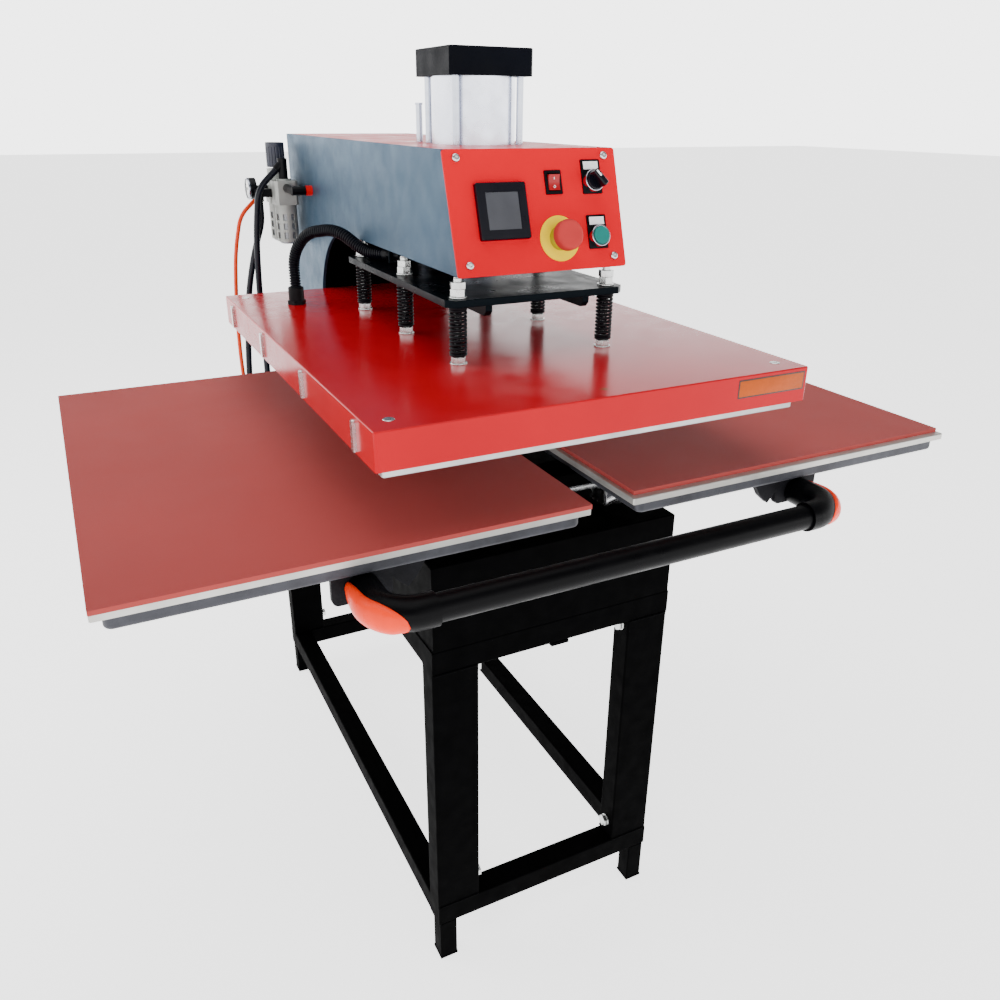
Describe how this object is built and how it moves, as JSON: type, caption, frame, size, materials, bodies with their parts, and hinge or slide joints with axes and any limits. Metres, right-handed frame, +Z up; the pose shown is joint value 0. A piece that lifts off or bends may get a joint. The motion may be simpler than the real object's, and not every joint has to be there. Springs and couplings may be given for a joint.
{
  "type": "twin-station pneumatic heat press",
  "caption": "Pneumatic heat press: a C-shaped head lowers a spring-mounted heated platen onto one of the padded tables of a side-to-side shuttle; floor stand, pull handle, control panel.",
  "frame": {"origin": "bottom centre of the bounding box, on the floor", "axes": "+X to the operator's right (the direction the tables slide), +Y away from the operator, +Z up"},
  "size_m": [1.266, 1.1505, 1.404],
  "materials": {
    "red_paint": "gloss",
    "black_paint": "satin",
    "blue_grey_paint": "satin",
    "zinc": "satin",
    "bright_steel": "polished",
    "cast_grey": "cast",
    "aluminium": "satin",
    "silicone": "matte",
    "rubber": "matte",
    "orange_plastic": "satin",
    "black_plastic": "satin",
    "red_plastic": "satin",
    "green_plastic": "satin",
    "yellow_plastic": "satin",
    "screen_glass": "gloss",
    "insulation": "matte",
    "orange_tube": "satin",
    "blue_tube": "satin",
    "conduit_grey": "satin",
    "chrome": "polished"
  },
  "bodies": {
    "frame": {"stand_feet": "black_paint", "stand_rings": "black_paint", "stand_legs": "black_paint", "frame_bolts": "zinc", "base_box": "black_paint", "carriages": "bright_steel", "side_plates": "blue_grey_paint", "column_covers": "black_paint", "top_cover": "red_paint", "front_panel": "red_paint", "mount_plate": "black_paint", "cylinder_heads": "aluminium", "cylinder_barrel": "aluminium", "tie_rods": "zinc", "cable_glands": "black_plastic", "controller_case": "black_plastic", "controller_screen": "screen_glass", "rocker_bezel": "black_plastic", "label_plates": "black_plastic", "control_bezels": "chrome", "estop_disc": "yellow_plastic", "air_unit_body": "black_plastic", "air_bowls": "black_plastic", "air_gauge": "black_plastic", "air_fittings": "black_plastic", "air_tubes": "blue_tube", "supply_tube": "orange_tube", "column_electrics": "black_plastic"},
    "shuttle": {"guide_rails": "bright_steel", "cross_beams": "cast_grey", "stop_bumpers": "rubber", "table_blocks": "cast_grey", "table_plates": "aluminium", "pads": "silicone", "handle_bar": "black_paint", "handle_elbows": "black_plastic", "handle_caps": "orange_plastic", "handle_brackets": "cast_grey"},
    "platen": {"heat_plate": "aluminium", "heater_rods": "bright_steel", "insulation_board": "insulation", "backing_plate": "zinc", "platen_cover": "red_paint", "cover_screws": "zinc", "skirt_straps": "bright_steel", "spring_studs": "zinc", "stud_nuts": "zinc", "springs": "bright_steel", "conduit_gland": "black_plastic", "conduit": "conduit_grey"},
    "press": {"press_plate": "zinc", "piston": "bright_steel", "guide_rods": "bright_steel"},
    "rocker_key": {"rocker": "red_plastic"},
    "selector": {"selector_knob": "black_plastic"},
    "start_key": {"start_button": "green_plastic"},
    "stop_stem": {"estop_stem": "zinc"},
    "stop_head": {"estop_mushroom": "red_plastic"},
    "regulator": {"regulator_knob": "black_plastic"}
  },
  "joints": [
    {"name": "shuttle_slide", "type": "slide", "parent": "frame", "child": "shuttle", "axis": [1, 0, 0], "range_m": [-0.346, 0.32]},
    {"name": "platen_stroke", "type": "slide", "parent": "frame", "child": "platen", "axis": [0, 0, 1], "range_m": [-0.0865, 0]},
    {"name": "spring_give", "type": "slide", "parent": "platen", "child": "press", "axis": [0, 0, 1], "range_m": [-0.008, 0], "stiffness_N_per_m": 40000, "springref_m": 0.006, "deforming": ["springs"]},
    {"name": "rocker_tilt", "type": "hinge", "parent": "frame", "child": "rocker_key", "pos_m": [0.014, -0.28085, 1.23715], "axis": [1, 0, 0], "range_deg": [-18, 0]},
    {"name": "selector_turn", "type": "hinge", "parent": "frame", "child": "selector", "pos_m": [0.074, -0.281, 1.23668], "axis": [0, -0.9511, 0.309], "range_deg": [-90, 0]},
    {"name": "start_press", "type": "slide", "parent": "frame", "child": "start_key", "axis": [0, 0.9511, -0.309], "range_m": [0, 0.0035], "stiffness_N_per_m": 500, "springref_m": -0.004},
    {"name": "stop_press", "type": "slide", "parent": "frame", "child": "stop_stem", "axis": [0, 0.9511, -0.309], "range_m": [0, 0.005]},
    {"name": "stop_release", "type": "hinge", "parent": "stop_stem", "child": "stop_head", "pos_m": [0.014, -0.3034, 1.16773], "axis": [0, -0.9511, 0.309], "range_deg": [-30, 0], "stiffness_Nm_per_rad": 0.1, "springref_deg": 20.05},
    {"name": "regulator_turn", "type": "hinge", "parent": "frame", "child": "regulator", "pos_m": [-0.171, 0.49275, 1.24], "axis": [0, 0, 1], "range_deg": [-540, 540]}
  ]
}
